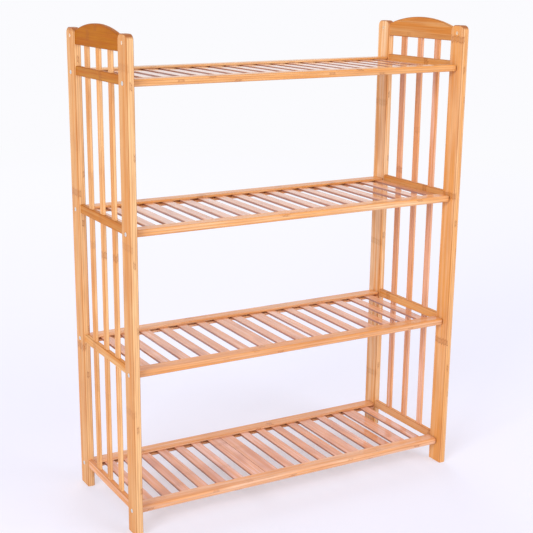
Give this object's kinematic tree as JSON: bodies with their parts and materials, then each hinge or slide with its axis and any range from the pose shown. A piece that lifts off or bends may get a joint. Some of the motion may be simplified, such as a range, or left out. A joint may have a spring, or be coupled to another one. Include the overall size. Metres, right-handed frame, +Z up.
{
  "type": "storage shelf",
  "caption": "Free-standing slatted bamboo storage shelf: spindled end frames with arched crest rails carry open slatted tiers between rounded rails.",
  "frame": {"origin": "on the floor, under the middle of the shelf", "axes": "+X to the right along the width, +Y to the rear, +Z up"},
  "size_m": [0.704, 0.274, 0.9],
  "materials": {
    "post_bamboo": "clear satin varnish",
    "crest_bamboo": "clear satin varnish",
    "side_rail_bamboo": "clear satin varnish",
    "spindle_bamboo": "clear satin varnish",
    "shelf_rail_bamboo": "clear satin varnish",
    "slat_bamboo": "clear satin varnish",
    "screw_zinc": "bright zinc"
  },
  "bodies": {
    "root": {"assembly_screws": "screw_zinc", "crest_rail_left": "crest_bamboo", "crest_rail_right": "crest_bamboo", "post_left_front": "post_bamboo", "post_left_rear": "post_bamboo", "post_right_front": "post_bamboo", "post_right_rear": "post_bamboo", "shelf_rail_bottom_front": "shelf_rail_bamboo", "shelf_rail_bottom_rear": "shelf_rail_bamboo", "shelf_rail_lower_front": "shelf_rail_bamboo", "shelf_rail_lower_rear": "shelf_rail_bamboo", "shelf_rail_top_front": "shelf_rail_bamboo", "shelf_rail_top_rear": "shelf_rail_bamboo", "shelf_rail_upper_front": "shelf_rail_bamboo", "shelf_rail_upper_rear": "shelf_rail_bamboo", "shelf_slats_bottom": "slat_bamboo", "shelf_slats_lower": "slat_bamboo", "shelf_slats_top": "slat_bamboo", "shelf_slats_upper": "slat_bamboo", "side_rail_left_bottom": "side_rail_bamboo", "side_rail_left_lower": "side_rail_bamboo", "side_rail_left_top": "side_rail_bamboo", "side_rail_left_upper": "side_rail_bamboo", "side_rail_right_bottom": "side_rail_bamboo", "side_rail_right_lower": "side_rail_bamboo", "side_rail_right_top": "side_rail_bamboo", "side_rail_right_upper": "side_rail_bamboo", "spindle_left_bottom_front": "spindle_bamboo", "spindle_left_bottom_middle": "spindle_bamboo", "spindle_left_bottom_rear": "spindle_bamboo", "spindle_left_lower_front": "spindle_bamboo", "spindle_left_lower_middle": "spindle_bamboo", "spindle_left_lower_rear": "spindle_bamboo", "spindle_left_top_front": "spindle_bamboo", "spindle_left_top_middle": "spindle_bamboo", "spindle_left_top_rear": "spindle_bamboo", "spindle_left_upper_front": "spindle_bamboo", "spindle_left_upper_middle": "spindle_bamboo", "spindle_left_upper_rear": "spindle_bamboo", "spindle_right_bottom_front": "spindle_bamboo", "spindle_right_bottom_middle": "spindle_bamboo", "spindle_right_bottom_rear": "spindle_bamboo", "spindle_right_lower_front": "spindle_bamboo", "spindle_right_lower_middle": "spindle_bamboo", "spindle_right_lower_rear": "spindle_bamboo", "spindle_right_top_front": "spindle_bamboo", "spindle_right_top_middle": "spindle_bamboo", "spindle_right_top_rear": "spindle_bamboo", "spindle_right_upper_front": "spindle_bamboo", "spindle_right_upper_middle": "spindle_bamboo", "spindle_right_upper_rear": "spindle_bamboo"}
  },
  "joints": []
}
